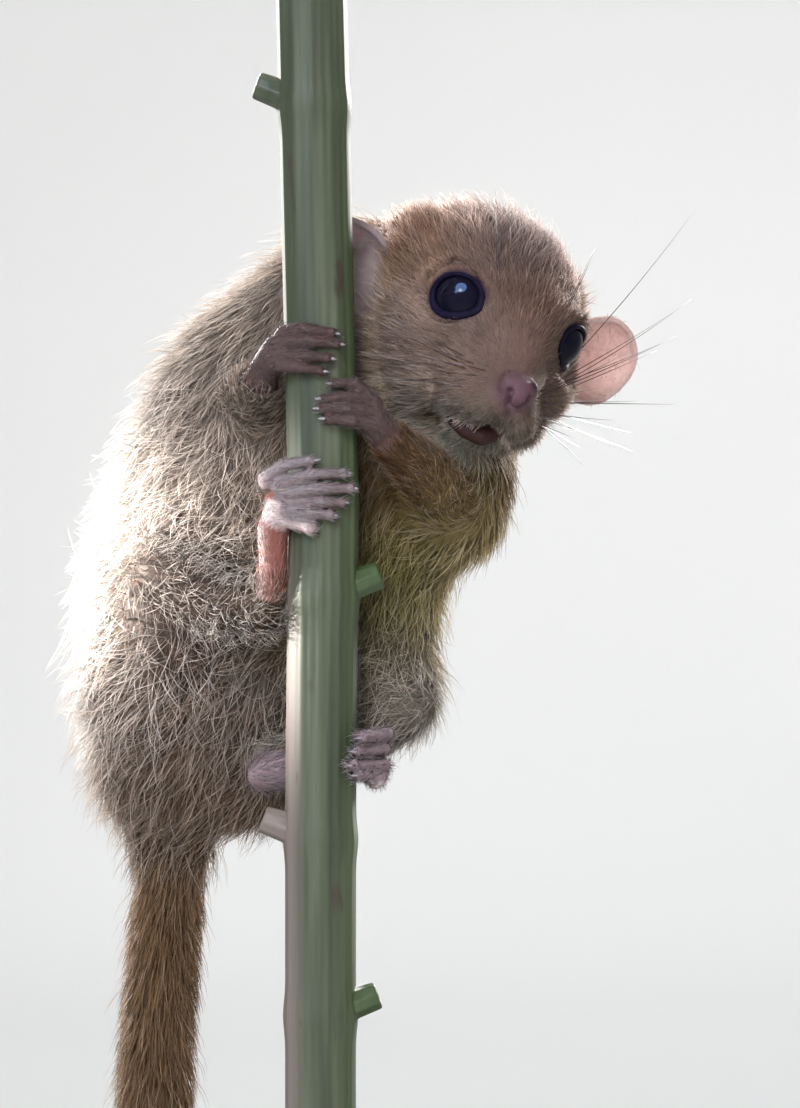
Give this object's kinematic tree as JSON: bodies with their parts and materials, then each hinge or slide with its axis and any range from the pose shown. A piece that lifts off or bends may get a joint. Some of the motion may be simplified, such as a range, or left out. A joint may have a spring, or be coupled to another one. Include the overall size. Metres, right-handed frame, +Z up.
{
  "type": "young hazel dormouse on a plant stem",
  "caption": "Life-size still model of a young hazel dormouse clinging to an upright cut plant stem, on a round wooden display base.",
  "frame": {"origin": "centre of the underside of the round base", "axes": "+Z up along the stem, -Y towards the viewer the animal looks at, +X towards the animal's left"},
  "size_m": [0.068, 0.068, 0.1191],
  "materials": {
    "sandy_fur": "matte",
    "tail_fur": "matte",
    "pink_skin": "satin",
    "ear_skin": "satin",
    "eye_black": "gloss",
    "stem_green": "matte",
    "rod_brass": "polished",
    "base_wood": "satin"
  },
  "bodies": {
    "root": {"head": "sandy_fur", "neck": "sandy_fur", "torso": "sandy_fur", "thigh_right": "sandy_fur", "thigh_left": "sandy_fur", "upper_arm_right": "sandy_fur", "upper_arm_left": "sandy_fur", "tail_base": "tail_fur", "tail_mid": "tail_fur", "tail_tip": "tail_fur", "shin_right": "pink_skin", "shin_left": "pink_skin", "forearm_right": "pink_skin", "forearm_left": "pink_skin", "foot_right": "pink_skin", "foot_left": "pink_skin", "hand_right": "pink_skin", "hand_left": "pink_skin", "ear_left": "ear_skin", "ear_right": "ear_skin", "eye_left": "eye_black", "eye_right": "eye_black", "stand_stem": "stem_green", "stand_rod": "rod_brass", "stand_base": "base_wood"}
  },
  "joints": []
}
